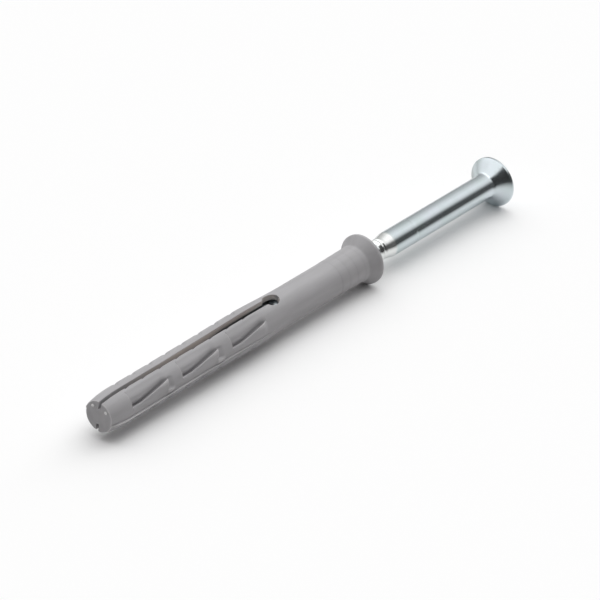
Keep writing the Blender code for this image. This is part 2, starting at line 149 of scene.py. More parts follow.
def lip_nick(height, angle, lip_angle):
    """Depth of the short nicks in the slot's lip: 0.4 mm at the height of each barb's face, nothing
    1.5 mm above it, and out by a cubic within 6 degrees of the lip."""
    past = height[..., None] - BARB_FACES
    nick = (np.clip(1.0 - past / 1.5, 0.0, 1.0) * (past > -0.01)).max(axis=-1)
    return 0.4 * nick * smooth(lip_angle + 6.0, lip_angle, angle)


def fin_edge(height):
    """Angle of the fin's free edge from the slot: 70 to 69 degrees over the first quarter of its
    length, then a straight run to 47.5."""
    steps = FIN_LENGTH * np.array([0.0, 0.26, 1.0, 1.0]) + (0.0, 0.0, 0.0, FIN_RECESS)
    marks = FIN_LOWS[:, None] + steps
    return np.interp(height, marks.ravel(), np.tile((70.0, 69.0, 47.5, 47.5), len(FIN_LOWS)))


def pocket_depth(height, angle, low):
    """Depth of the pocket beside a fin: a shallow recess from 14 degrees on, and a groove that falls
    by the square under the fin's edge. The groove is 1.3 mm deep and starts 34 degrees before the
    edge at the low end of the fin, and 0.9 mm and 18 degrees at the free end."""
    wide = np.interp(height, (low, low + FIN_LENGTH), (34.0, 18.0))
    deep = np.interp(height, (low, low + FIN_LENGTH), (1.3, 0.9))
    share = np.clip((angle - fin_edge(height) + wide) / wide, 0.0, 1.0)
    return 0.16 * smooth(14.0, 28.0, angle) + deep * share * share


def pocket_brow(height, angle, low):
    """Fall of the leg to the edge where a pocket starts: a quarter circle over the last 0.35 mm,
    0.2 mm deep, from 20 degrees to the fin's edge and out by a cubic at both sides."""
    edge = fin_edge(height)
    rounded = np.clip((height - low + 0.35) / 0.35, 0.0, 1.0) * (height <= low)
    return 0.2 * round_fall(rounded) * smooth(14.0, 20.0, angle) * smooth(edge + 12.0, edge, angle)


def fin_rise(height, angle, low, free):
    """Height of a fin above the plain leg: up by a cubic to 0.65 mm along it, down to the leg by the
    power 1.5 of the angle left to its root, and with a quarter circle off its crest and its free
    end. A fin with no free end sinks by a cubic over its last seventh."""
    high = low + FIN_LENGTH
    edge = fin_edge(height)
    along = np.clip((height - low) / FIN_LENGTH, 0.0, 1.0)
    left = np.clip((FIN_ROOT - angle) / (FIN_ROOT - edge), 0.0, 1.0)
    rise = 0.65 * smooth(0.1, 1.0, along) * (free + (1.0 - free) * smooth(1.0, 0.86, along))
    wide = np.interp(along, (0.0, 0.5, 1.0), (10.0, 5.0, 3.6))
    crest = np.clip(1.0 - (angle - edge) / wide, 0.0, 1.0)
    end = np.clip((height - high + 0.4) / 0.4, 0.0, 1.0) * (height < high + 0.01) * free
    rounded = (0.18 + 0.02 * wide) * round_fall(crest)
    rounded = rounded + 0.15 * round_fall(end) * smooth(FIN_ROOT, 76.0, angle)
    return rise * left ** 1.5 - rounded


def end_recess(height, angle, high):
    """Depth of the short recess beyond a fin's free end: 0.4 mm, between cubic falls."""
    along = smooth(high + 2.2, high + 0.4, height)
    return 0.4 * along * smooth(81.0, 74.0, angle) * smooth(40.0, 50.0, angle)


def end_shelf(height, angle, high):
    """Height of the shelf that joins a fin's root past its free end: 0.35 mm, between cubic rises
    from 76 to 80 degrees and cubic falls to the root."""
    along = smooth(high + FIN_RECESS, high + 1.6, height) * smooth(high - 1.6, high + 0.2, height)
    return 0.35 * smooth(76.0, 80.0, angle) * smooth(FIN_ROOT, 87.0, angle) * along


def fin_side(height, angle, under, lip_angle):
    """Radius of the quarter with the fins. Under a fin's edge its pocket shows, which rises by a
    cubic at the far end, and past the edge the fin itself. A recess and a shelf follow on a free
    end. Elsewhere it is the plain leg, less the nicks in the slot's lip."""
    plain = leg_radius(height) - LEDGE * smooth(-41.7, -50.0, height)
    plain = plain - lip_nick(height, angle, lip_angle)
    result = plain.copy()
    for low, free in zip(FIN_LOWS, FIN_FREE):
        high = low + FIN_LENGTH
        level = 1.0 - smooth(high - (2.2 if free else 3.0), high + 0.3, height)
        pocket = plain - pocket_depth(height, angle, low) * level
        top = plain + fin_rise(height, angle, low, free)
        if free:
            sunk = plain - end_recess(height, angle, high)
            pocket = np.minimum(pocket, sunk)
            top = np.where(height > high + 0.01, sunk, top) + end_shelf(height, angle, high)
        inside = (height > low) & (height < high + FIN_RECESS * free)
        result = result - pocket_brow(height, angle, low)
        result = np.where(inside, np.where(under, pocket, top), result)
    return result


def rib_low(height):
    """Angle of the rib's upper edge: 97.5 degrees at the tip, 90.5 from 60 mm down upwards."""
    return np.interp(height, (-98.0, -60.0), (97.5, 90.5))


def rib_bump(height, angle):
    """Rounded rib on the parting line, 3.7 degrees wide: it rises to 0.4 mm within 1.6 mm of the tip,
    and is 0.3 mm proud at 80 mm down, 0.2 at 50 mm and gone from 38 mm up."""
    share = np.clip((angle - rib_low(height) + 0.1) / RIB_WIDTH, 0.0, 1.0)
    places = (END, END + 0.5, END + 1.6, -80.0, -50.0, -38.0)
    proud = np.interp(height, places, (0.08, 0.2, 0.4, 0.3, 0.2, 0.0))
    return proud * np.maximum(1.0 - (2.0 * share - 1.0) ** 2, 0.0) ** 0.35


def polar(reach, across):
    """Radius and angle of a point that lies so far out along the slot's middle and so far across."""
    return np.hypot(reach, across), np.degrees(np.arctan2(across, reach))


def to_world(height, radius, angle):
    """Place of a point in the frame, in metres: height along X, and the radius turned by the angle
    and the lean. What would be below the table is raised to it, as a small flat on the rim."""
    turn = np.radians(angle + LEAN)
    x = AXIS_X + height + 0.0 * radius
    y = -radius * np.sin(turn)
    z = np.maximum(AXIS_Z + radius * np.cos(turn), 0.0)
    return np.stack(np.broadcast_arrays(x, y, z), axis=-1) * MM


def sheet(grid):
    """Points of a grid and the four-sided faces between its neighbours."""
    rows, columns = grid.shape[:2]
    index = np.arange(rows * columns).reshape(rows, columns)
    faces = np.stack((index[:-1, :-1], index[1:, :-1], index[1:, 1:], index[:-1, 1:]), axis=-1)
    return grid.reshape(-1, 3), faces.reshape(-1, 4)


def lid(ring):
    """Points of one flat ring and the single face inside it."""
    return ring.reshape(-1, 3), np.arange(len(ring))[None]


def lace(fine, coarse, nearest):
    """Strip of triangles between a fine row of points and a coarse one: each fine edge goes to its
    nearest coarse point, and each step of that point adds one triangle more."""
    index = np.arange(len(fine) - 1)
    near = nearest + len(fine)
    first = np.stack((index, index + 1, near[:-1]), axis=-1)
    steps = index[nearest[1:] != nearest[:-1]]
    second = np.stack((steps + 1, near[steps + 1], near[steps]), axis=-1)
    return np.concatenate((fine, coarse)), np.concatenate((first, second))


def closed_mesh(name, pieces):
    """Object of pieces that share their edges: points nearer than 0.0008 mm are merged, the faces
    turned outwards, and edges that bend by more than 38 degrees kept sharp."""
    points = []
    faces = []
    count = 0
    for place, corners in pieces:
        faces += (corners + count).tolist()
        points.append(place)
        count += len(place)
    mesh = bpy.data.meshes.new(name)
    mesh.from_pydata(np.concatenate(points), [], faces)
    body = bmesh.new()
    body.from_mesh(mesh)
    bmesh.ops.remove_doubles(body, verts=body.verts, dist=0.0008 * MM)
    bmesh.ops.recalc_face_normals(body, faces=body.faces)
    body.to_mesh(mesh)
    body.free()
    mesh.shade_smooth()
    mesh.set_sharp_from_angle(angle=math.radians(38.0))
    made = bpy.data.objects.new(name, mesh)
    bpy.context.scene.collection.objects.link(made)
    return made


def skin_rows():
    """Heights of the rows over the legs: every 0.25 mm, and closer at each edge across the leg."""
    turn = np.radians(np.linspace(-62.0, 90.0, 23))
    marks = [
        np.arange(RIM + 0.1, KEYHOLE_END, 0.25),
        KEYHOLE + KEYHOLE_REACH * np.sin(turn),
        (BARB_FACES[:, None] + (-0.1, -0.05, 0.0, 0.02)).ravel(),
        (FIN_LOWS[:, None] + (-0.35, -0.22, -0.12, -0.04, 0.0, 0.02, 0.25, 0.5)).ravel(),
        (FIN_LOWS[:, None] + FIN_LENGTH + (-0.4, -0.15, -0.05, 0.0, 0.03, 0.3)).ravel(),
        np.array([RIM, PLUG, -42.3, -41.7]),
    ]
    rows = np.unique(np.round(np.concatenate(marks), 4))
    return rows[(rows >= RIM) & (rows <= KEYHOLE_END + 0.0001)]


def skin_columns():
    """Shares of the way round one leg: 0 to 1 up to the fin's edge, 1 to 2 up to the rib, 2 to 3
    over the rib, and 3 to 4 up to the far slot."""
    return np.concatenate((
        np.linspace(0.0, 0.997, 26),
        (1.0, 1.02, 1.045, 1.08),
        np.linspace(1.13, 1.996, 15),
        np.linspace(2.0, 3.0, 8)[:-1],
        np.linspace(3.0, 4.0, 28),
    ))


def lip_sizes(height):
    """Sizes of the roundings at the skin's two edges, which run out by a square root over the last
    0.4 mm of the keyhole. From 1 to 5 mm below the keyhole's middle the far one grows by a cubic
    to twice the near one."""
    fade = np.clip((KEYHOLE_END - height) / 0.4, 0.0, 1.0) ** 0.5
    far = LIP + (FAR_LIP - LIP) * smooth(KEYHOLE - 1.0, KEYHOLE - 5.0, height)
    return np.column_stack((LIP * fade, far * fade))


def leg_skin(height):
    """Height, radius and angle of each point of the outer skin over one leg, from slot to slot. The
    columns before a fin's edge bend past it by up to 7 degrees, which cuts the pocket under the
    fin, and the rows slant by up to 0.5 mm round a free end."""
    lip = lip_sizes(height)
    half = slot_half(height)
    outer = leg_radius(height)
    near = np.degrees(np.arcsin((half + lip[:, 0]) / (outer - LEDGE * (height < -42.0))))[:, None]
    far = 180.0 - np.degrees(np.arcsin((half + lip[:, 1]) / outer))[:, None]
    edge = fin_edge(height)[:, None]
    rib = rib_low(height)[:, None]
    columns = skin_columns()
    rows = height[:, None] + 0.0 * columns
    share = columns - np.floor(columns)
    share[-1] = 1.0
    zone = np.minimum(np.floor(columns), 3.0)
    past_low = rows[..., None] - FIN_LOWS
    hollow = smooth(0.0, 0.8, past_low) * smooth(FIN_LENGTH + 0.1, FIN_LENGTH - 0.6, past_low)
    pocket_angle = near + (edge - near) * share + 7.0 * hollow.max(axis=-1) * share ** 9
    angle = np.select(
        [zone == 0.0, zone == 1.0, zone == 2.0],
        [pocket_angle, edge + (rib - edge) * share, rib + RIB_STRIP * share],
        rib + RIB_STRIP + (far - rib - RIB_STRIP) * share,
    )
    slant = np.clip((angle - 50.0) / 40.0, 0.0, 1.0) * (zone < 2.0)
    gap = np.abs(rows[..., None] - FIN_LOWS - FIN_LENGTH) / 2.5
    bend = (np.maximum(1.0 - gap, 0.0) * FIN_FREE).max(axis=-1)
    radius = np.where(
        zone < 2.0,
        fin_side(rows, angle, zone < 1.0, near),
        leg_radius(rows) + np.where(zone < 3.0, rib_bump(rows, angle), -barb_cut(rows, angle)),
    )
    return rows - 0.5 * slant * bend, radius, angle


def lip_points(radius, half, size, side):
    """Radii and angles of the two points that round the slot's lip by a quarter circle of one size:
    one on the slot's wall and one at 45 degrees. The side is 1 at the near edge, -1 at the far."""
    turn = np.radians((90.0, 45.0))
    reach = np.sqrt(radius ** 2 - (half + size) ** 2)
    out = reach[:, None] - size[:, None] * (1.0 - np.cos(turn))
    across = half[:, None] + size[:, None] * (1.0 - np.sin(turn))
    return polar(side * out, across)


def with_lips(height, rows, radius, angle):
    """Adds to the skin, at both edges, the two points that round the slot's lip."""
    half = slot_half(height)
    lip = lip_sizes(height)
    near = lip_points(radius[:, 0], half, lip[:, 0], 1.0)
    far = lip_points(radius[:, -1], half, lip[:, 1], -1.0)
    rows = np.column_stack((rows[:, :1], rows[:, :1], rows, rows[:, -1:], rows[:, -1:]))
    radius = np.column_stack((near[0], radius, far[0][:, ::-1]))
    angle = np.column_stack((near[1], angle, far[1][:, ::-1]))
    return rows, radius, angle


def arc(centre_height, centre_radius, size, start, stop, count):
    """Points of a profile's fillet: a circle of one size from one angle to another."""
    turn = np.radians(np.linspace(start, stop, count))
    return np.column_stack((centre_height + size * np.sin(turn), centre_radius + size * np.cos(turn)))


def neck_profile():
    """Height and radius up the plain zone, over the rings and the collar, and down the mouth. Each
    ring is the same soft step, one above the other."""
    plain = np.linspace(KEYHOLE_END, -15.2, 24)
    parts = [np.column_stack((plain, leg_radius(plain)))[1:]]
    ring_heights = np.array([-0.6, -0.3, -0.16, -0.04, 0.1, 1.2])
    ring_shares = np.array([0.0, 0.06, 0.28, 0.72, 0.96, 1.0])
    for count, place in enumerate(RINGS):
        ring_radius = 5.0 + RING_STEP * count + RING_STEP * ring_shares
        parts.append(np.column_stack((place + ring_heights, ring_radius)))
    # The collar: a fillet, its cone, and its rim with two roundings
    parts.append(np.array([(-3.9, 5.2), (-3.65, 5.22), (-3.45, 5.3), (-3.25, 5.42), (-3.0, 5.58)]))
    parts.append(np.array([(-1.9, 6.29), (-1.05, 6.84)]))
    parts.append(arc(-0.7, 6.74, 0.25, -34.0, 0.0, 4))
    parts.append(arc(-0.15, 6.84, 0.15, 0.0, 90.0, 5))
    # The top face, and the conical recess for the nail's head down to the bore
    parts.append(np.array([(0.0, 6.62), (0.0, 6.46), (-0.02, 6.4), (-0.08, 6.33)]))
    parts.append(np.array([(-0.7, 5.61), (-1.6, 4.59), (-2.4, 3.69), (-2.48, 3.62), (-2.6, NECK_BORE)]))
    return np.concatenate(parts)


def half_outside():
    """Half of the sleeve's outside: the end face's rim, rounded by 0.3 mm, the skin over one leg with
    its lips, and on up the neck, over the collar and down the mouth. Gives the heights of the
    rows over the leg, and the height, radius and angle of each point."""
    rim = arc(RIM, 4.159, 0.3, -90.0, -15.0, 5)
    leg_rows = np.concatenate((rim[:, 0], skin_rows()))
    rounded = np.interp(leg_rows, rim[:, 0], rim[:, 1]) - leg_radius(leg_rows)
    rows, radius, angle = leg_skin(leg_rows)
    radius = radius + np.where(leg_rows < RIM, rounded, 0.0)[:, None]
    rows, radius, angle = with_lips(leg_rows, rows, radius, angle)
    neck = neck_profile()
    rows = np.concatenate((rows, np.repeat(neck[:, :1], rows.shape[1], axis=1)))
    radius = np.concatenate((radius, np.repeat(neck[:, 1:], radius.shape[1], axis=1)))
    angle = np.concatenate((angle, np.repeat(angle[-1:], len(neck), axis=0)))
    return leg_rows, rows, radius, angle


def half_bore(leg_rows):
    """Half of the bore from its bottom up: between the slots on the legs' own rows, then in four
    long steps round the neck. Gives the height, radius and angle of each point."""
    slotted = leg_rows[leg_rows >= PLUG - 0.0001]
    neck = np.array([-30.0, -20.0, -10.0, -4.0])
    share = np.linspace(0.0, 1.0, 15)
    rows = np.concatenate((slotted, neck))[:, None] + 0.0 * share
    radius = np.concatenate((bore_radius(slotted), np.full(len(neck), NECK_BORE)))[:, None] + 0.0 * share
    near = np.degrees(np.arcsin(slot_half(slotted) / bore_radius(slotted)))[:, None]
    angle = near + (180.0 - 2.0 * near) * share
    return rows, radius, np.concatenate((angle, np.repeat(angle[-1:], len(neck), axis=0)))


def slot_point(height, reach, across, turn):
    """Place of a point that lies so far out along the slot's middle and so far across it."""
    radius, angle = polar(reach, across)
    return to_world(height, radius, angle + turn)


def sleeve_pieces():
    """All sheets of the sleeve, each made twice with half a turn between: the outside, the bore, the
    slot's walls from one to the other, the walls and the floor of the slot in the solid tip, and
    the strip from the mouth to the bore. One face closes the end and one the bottom of the bore."""
    leg_rows, rows, radius, angle = half_outside()
    bore_rows, bore, bore_angle = half_bore(leg_rows)
    tip_rows = leg_rows[leg_rows <= PLUG + 0.0001]
    tip_half = slot_half(tip_rows)[:, None]
    plug_half = slot_half(PLUG)
    walls = slice(len(tip_rows) - 1, len(leg_rows))
    wall_rows = leg_rows[walls]
    tip_reach = np.array([SLOT_FLOOR, np.sqrt(TIP_BORE ** 2 - plug_half ** 2)])
    nearest = np.abs(angle[-1][:, None] - bore_angle[-1]).argmin(axis=1)
    pieces = []
    end_ring = []
    plug_ring = []
    for turn in (0.0, 180.0):
        pieces.append(sheet(to_world(rows, radius, angle + turn)))
        pieces.append(sheet(to_world(bore_rows, bore, bore_angle + turn)))
        for column, side in ((0, 1.0), (-1, -1.0)):
            wall_radius = np.column_stack((radius[walls, column], bore[:len(wall_rows), column]))
            wall_angle = np.column_stack((angle[walls, column], bore_angle[:len(wall_rows), column]))
            pieces.append(sheet(to_world(wall_rows[:, None], wall_radius, wall_angle + turn)))
            inner_radius, inner_angle = polar(side * tip_reach[::-1], tip_half)
            tip_radius = np.column_stack((radius[:len(tip_rows), column], inner_radius))
            tip_angle = np.column_stack((angle[:len(tip_rows), column], inner_angle))
            pieces.append(sheet(to_world(tip_rows[:, None], tip_radius, tip_angle + turn)))
        floor_across = np.column_stack((-tip_half, tip_half))
        pieces.append(sheet(slot_point(tip_rows[:, None], SLOT_FLOOR, floor_across, turn)))
        end_ring.append(slot_point(END, tip_reach, tip_half[0], turn))
        end_ring.append(to_world(rows[0], radius[0], angle[0] + turn))
        end_ring.append(slot_point(END, -tip_reach[::-1], tip_half[0], turn))
        plug_ring.append(slot_point(PLUG, np.array([SLOT_FLOOR]), plug_half, turn))
        plug_ring.append(to_world(PLUG, bore[0], bore_angle[0] + turn))
        plug_ring.append(slot_point(PLUG, np.array([-SLOT_FLOOR]), plug_half, turn))
        mouth = to_world(rows[-1], radius[-1], angle[-1] + turn)
        pieces.append(lace(mouth, to_world(bore_rows[-1], bore[-1], bore_angle[-1] + turn), nearest))
    pieces.append(lid(np.concatenate(end_ring)))
    pieces.append(lid(np.concatenate(plug_ring)))
    return pieces


def stub(angle):
    """Small dome on the end face: the cap of a ball of one size that looks towards -X."""
    round_it = np.radians(np.linspace(0.0, 360.0, 25))[None, :]
    up = np.radians(np.linspace(22.0, 90.0, 8))[:, None]
    middle = to_world(np.array(STUB_HEIGHT), np.array(STUB_OUT), np.array(angle))
    out = STUB_SIZE * np.cos(up) * MM
    x = middle[0] - STUB_SIZE * np.sin(up) * MM + 0.0 * round_it
    y = middle[1] + out * np.cos(round_it)
    z = middle[2] + out * np.sin(round_it)
    grid = np.stack((x, y, z), axis=-1)
    return [sheet(grid), lid(grid[0, :-1])]


def mark_painted_light(mesh):
    """""Writes two numbers at each point for the material's painted light. One, "proud", is how far the
    point stands out of the plain leg, as a share of 0.4 mm: in full on the rib and by 0.65 elsewhere,
    with 0.62 on the rim of the end face; the material paints a highlight by it. The other is painted
    light on the slot's walls: most just below the lip, less with the depth and towards the tip."" """
    place = np.empty(3 * len(mesh.vertices), dtype=np.float32)
    mesh.vertices.foreach_get("co", place)
    x, y, z = place.reshape(-1, 3).T * 1000.0
    height = x - AXIS_X
    radius = np.hypot(y, z - AXIS_Z)
    across = np.abs(np.sin(np.arctan2(z - AXIS_Z, y) - math.radians(90.0 + LEAN)))
    depth = leg_radius(height) - radius

    # Painted highlight on the rib and the fins, which stand out of the leg
    proud = np.clip(-depth / 0.4, 0.0, 1.0) * (height < -36.0) * (height > -104.6)
    proud = proud * np.where(across > 0.975, 1.0, 0.65)
    # Painted highlight along the rim of the end face
    painted_rim_highlight = (np.abs(height + 104.86) < 0.13) * (radius > 3.9)
    proud = np.maximum(proud, 0.62 * painted_rim_highlight)
    mesh.attributes.new("proud", "FLOAT", "POINT").data.foreach_set("value", proud.astype(np.float32))

    # Painted light on the slot's walls below the lip
    painted_slot_light = smooth(0.02, 0.12, depth) * (1.0 - 0.6 * smooth(0.3, 1.8, depth))
    painted_slot_light = painted_slot_light * np.interp(height, (-104.0, -96.0, -88.0, -75.0), (0.0, 0.15, 0.5, 0.9))
    painted_slot_light = painted_slot_light * (radius * across < slot_half(height) + 0.03)
    mesh.attributes.new("painted_slot_light", "FLOAT", "POINT").data.foreach_set("value", painted_slot_light.astype(np.float32))


def connect(tree, node, sockets):
    """Links each named socket to the output that is given for it, or sets it to the number or colour
    that is given."""
    for name, value in sockets.items():
        if isinstance(value, bpy.types.NodeSocket):
            tree.links.new(value, node.inputs[name])
        else:
            node.inputs[name].default_value = value


def add(tree, kind, sockets, **settings):
    """New node of one kind, with its own settings and its sockets linked or set."""
    node = tree.nodes.new("ShaderNode" + kind)
    for name, value in settings.items():
        setattr(node, name, value)
    connect(tree, node, sockets)
    return node


def coordinate(tree, axis, source="Object"):
    """One coordinate of the point that is shaded."""
    where = add(tree, "TexCoord", {}).outputs[source]
    return add(tree, "SeparateXYZ", {"Vector": where}).outputs[axis]


def noise(tree, scale, detail):
    """Noise over the piece, with one scale for all axes or one for each, which makes it streaky."""
    where = add(tree, "TexCoord", {}).outputs["Object"]
    if isinstance(scale, tuple):
        where = add(tree, "Mapping", {"Vector": where, "Scale": scale}).outputs["Vector"]
        scale = 1.0
    return add(tree, "TexNoise", {"Vector": where, "Scale": scale, "Detail": detail}).outputs["Fac"]


def ranged(tree, value, low, high, start=0.0, stop=1.0, step="LINEAR"):
    """Straight or smooth run from start to stop while the value goes from low to high."""
    ends = {"From Min": low, "From Max": high, "To Min": start, "To Max": stop}
    return add(tree, "MapRange", {"Value": value, **ends}, interpolation_type=step).outputs["Result"]


def colour_ramp(tree, share, places, colours):
    """Colour that runs straight from one stop to the next as the share passes their places."""
    node = add(tree, "ValToRGB", {"Fac": share})
    stops = node.color_ramp.elements
    while len(stops) < len(places):
        stops.new(0.5)
    for stop, place, colour in zip(stops, places, colours):
        stop.position = place
        stop.color = (*colour, 1.0)
    return node.outputs["Color"]


def mixed(tree, share, first, second):
    """Colour between two, at a share of the way from the first to the second."""
    sockets = {"Factor": share, "A": first, "B": second}
    return add(tree, "Mix", sockets, data_type="RGBA").outputs["Result"]


def new_material(name):
    """Empty node material, with its node tree and its shader."""
    made = bpy.data.materials.new(name)
    made.use_nodes = True
    return made, made.node_tree, made.node_tree.nodes["Principled BSDF"]


def nylon():
    """""Grey injection moulded nylon: satin, with a fine orange-peel grain, faint flow streaks along
    the sleeve and slightly lighter, glossier patches where the mould was smoother. Its colour also
    holds painted light: a painted highlight on the edges that stand out of the legs and on the end
    face's rim, painted light on the slot's walls, and a painted highlight on the two stubs."" """
    made, tree, shader = new_material("grey_nylon_moulded")
    streaks = noise(tree, (60.0, 420.0, 420.0), 4.0)
    plain = colour_ramp(tree, streaks, (0.3, 0.7), ((0.4, 0.393, 0.403), (0.455, 0.447, 0.46)))
    # Painted highlight: paler where the nylon stands out of the leg and on the end face's rim
    proud = add(tree, "Attribute", {}, attribute_name="proud").outputs["Fac"]
    painted_edge_highlight = ranged(tree, proud, 0.35, 1.0, 0.0, 0.85)
    edges = mixed(tree, painted_edge_highlight, plain, (0.86, 0.84, 0.85, 1.0))
    # Painted light: paler, warmer slot walls
    painted_slot_light = add(tree, "Attribute", {}, attribute_name="painted_slot_light").outputs["Fac"]
    walls = mixed(tree, painted_slot_light, edges, (0.74, 0.67, 0.63, 1.0))
    # Painted highlight on the two stubs of the end face
    face = (AXIS_X + END) * MM
    painted_stub_highlight = ranged(tree, coordinate(tree, "X"), face - 0.03 * MM, face - 0.15 * MM)
    grain = noise(tree, 2600.0, 3.0)
    bump = add(tree, "Bump", {"Strength": 0.25, "Distance": 0.04 * MM, "Height": grain})
    connect(tree, shader, {
        "Base Color": mixed(tree, painted_stub_highlight, walls, (0.85, 0.84, 0.84, 1.0)),
        "Roughness": ranged(tree, streaks, 0.3, 0.7, 0.5, 0.38),
        "Specular IOR Level": 0.42,
        "Normal": bump.outputs["Normal"],
    })
    return made


sleeve = closed_mesh("sleeve_moulding", sleeve_pieces() + stub(STUB_TURN) + stub(-STUB_TURN))
mark_painted_light(sleeve.data)
sleeve.data.materials.append(nylon())
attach(sleeve, "sleeve")
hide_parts("sleeve")


# The drive nail is cold forged steel wire with a rolled sawtooth thread and a countersunk head with
# a pressed cross recess, barrel plated with bright zinc.

# Head: its flat top, and the turn, reach, half width and depth of its cross recess
HEAD_TOP = 55.0
ARM_TURN = 4.22
CROSS_REACH = 3.3
CROSS_HALF = 0.75
CROSS_DEPTH = 3.5

# Shank and thread: radii of the shank and of the thread's core, how far the ridge stands out of it,
# and the thread's pitch, turn, top and end, with the point below
SHANK = 3.5
CORE = 2.5
RIDGE = 0.5
PITCH = 3.2
THREAD_TURN = 2.8125
THREAD_TOP = 6.1
THREAD_END = -47.4
POINT = -49.0


def nail_place(height, radius, angle):
    """Place of a point of the nail in metres, with its angle measured from below towards +Y. What
    would be below the table is raised to it, as a small flat on the head's rim."""
    turn = np.radians(angle)
    x = AXIS_X + height + 0.0 * radius
    y = radius * np.sin(turn)
    z = np.maximum(AXIS_Z - radius * np.cos(turn), 0.0)
    return np.stack(np.broadcast_arrays(x, y, z), axis=-1) * MM


def nail_angles(corner):
    """Angles round the nail in degrees, closed, with a column on each corner of the cross: from
    arm to arm, 0 to the arm's corner, then on to 45 degrees, and back."""
    side = np.concatenate((np.linspace(0.0, corner, 11), np.linspace(corner, 45.0, 23)[1:]))
    arm = np.concatenate((-side[::-1], side[1:]))
    quarters = [arm[:-1] + 90.0 * quarter for quarter in range(4)]
    return np.concatenate(quarters + [[arm[0] + 360.0]]) + ARM_TURN


def cross_radius(angle, reach, half):
    """Radius of the cross outline at an angle: the arm's end up to its corner, then its side."""
    turn = np.radians((angle - ARM_TURN + 45.0) % 90.0 - 45.0)
    side = half / np.maximum(np.abs(np.sin(turn)), 0.0001)
    return np.minimum(reach / np.cos(turn), side)


def nail_profile():
    """Height and radius from the head's flat top over its rim, cone, shank, chamfer and land to
    the neck, where the threaded core comes out."""
    return np.concatenate((
        # The head: its top, its rim with two roundings, its cone and the fillet below
        [(HEAD_TOP, 5.2), (HEAD_TOP, 6.4)],
        arc(HEAD_TOP - 0.12, 6.87, 0.12, 90.0, 0.0, 5),
        arc(54.28, 6.85, 0.14, 0.0, -48.0, 4),
        [(53.2, 5.87), (52.3, 4.86), (51.55, 4.0)],
        [(51.3, 3.76), (51.05, 3.62), (50.7, 3.53), (50.2, SHANK)],
        # The shank, with the faint mark of a die round it
        np.column_stack((np.linspace(49.0, 19.1, 24), np.full(24, SHANK))),
        [(19.0, SHANK), (18.95, 3.48), (18.85, 3.48), (18.8, SHANK)],
        np.column_stack((np.linspace(18.0, 9.8, 7), np.full(7, SHANK))),
        # The chamfer, the land with its groove, and the neck
        [(9.6, 3.49), (9.45, 3.46), (9.3, 3.42), (7.4, 3.02), (7.25, 3.0)],
        [(6.5, 3.0), (6.35, 2.97), (6.05, 2.72), (5.75, 2.72), (5.5, 2.94)],
        [(5.3, 2.97), (4.2, 2.25), (4.1, 2.2)],
    ))


def nail_head_and_shank():
    """Turned sheet from the head to the neck, with the cross recess. The recess is a set of rings,
    each with a depth and a share of the cross's size, that narrow towards the floor, and the floor
    falls a little to the middle."""
    angle = nail_angles(math.degrees(math.atan2(CROSS_HALF, CROSS_REACH)))
    rings = [nail_place(np.full(len(angle), HEAD_TOP - CROSS_DEPTH), np.zeros(len(angle)), angle)]
    for depth, scale in ((3.0, 0.45), (2.0, 0.63), (1.0, 0.82), (0.1, 0.985), (0.03, 1.0), (0.0, 1.025)):
        reach = CROSS_REACH * scale
        half = CROSS_HALF * (0.5 + 0.5 * scale)
        turned = nail_angles(math.degrees(math.atan2(half, reach)))
        rings.append(nail_place(HEAD_TOP - depth, cross_radius(turned, reach, half), turned))
    profile = nail_profile()
    body = nail_place(profile[:, :1], profile[:, 1:] + 0.0 * angle, angle)
    grid = np.concatenate((np.array(rings), body))
    return [sheet(grid), lid(grid[-1, :-1])]


def cone(ring, height):
    """Triangles from a ring to one point on the axis."""
    tip = nail_place(np.array(height), np.array(0.0), np.array(0.0))
    index = np.arange(len(ring))
    faces = np.stack((index, np.roll(index, -1), np.full(len(ring), len(ring))), axis=-1)
    return np.concatenate((ring, tip[None])), faces


def thread_pieces():
    """Threaded core wound as one band: the outline of one pitch, carried round the axis and down,
    so that its last edge meets its first edge one turn on. Each point of the outline has a drop
    along the axis and a share of the ridge's height. The ridge fades over 0.4 of a turn at both
    ends."""
    drop = np.array([0.0, 0.25, 0.55, 0.66, 0.75, 1.13, 1.19, 1.25, 1.4, 1.62, 1.72, 1.85, 2.4, 3.0, PITCH])
    ridge = np.array([0.0, 0.0, 0.0, 0.04, 0.12, 0.9, 0.97, 1.0, 1.0, 1.0, 0.97, 0.9, 0.5, 0.08, 0.0])
    per_turn = 72
    steps = round((THREAD_TOP - THREAD_END - PITCH) / PITCH * per_turn)
    step = np.arange(steps + 1)[:, None]
    left = np.minimum(step, steps - step) / per_turn
    radius = CORE + RIDGE * ridge * np.clip(left / 0.4, 0.0, 1.0)
    height = THREAD_TOP - PITCH * step / per_turn - drop
    grid = nail_place(height, radius, -360.0 * step / per_turn + THREAD_TURN)
    top = np.concatenate((grid[:per_turn, 0], grid[0, :0:-1]))
    foot = np.concatenate((grid[steps], grid[steps - per_turn + 1:steps, -1][::-1]))
    return [sheet(grid), cone(top, THREAD_TOP), cone(foot, POINT)]


def grey_ramp(tree, share, places, levels):
    """Grey level that runs straight from one stop to the next as the share passes their places."""
    return colour_ramp(tree, share, places, [(level, level, level) for level in levels])


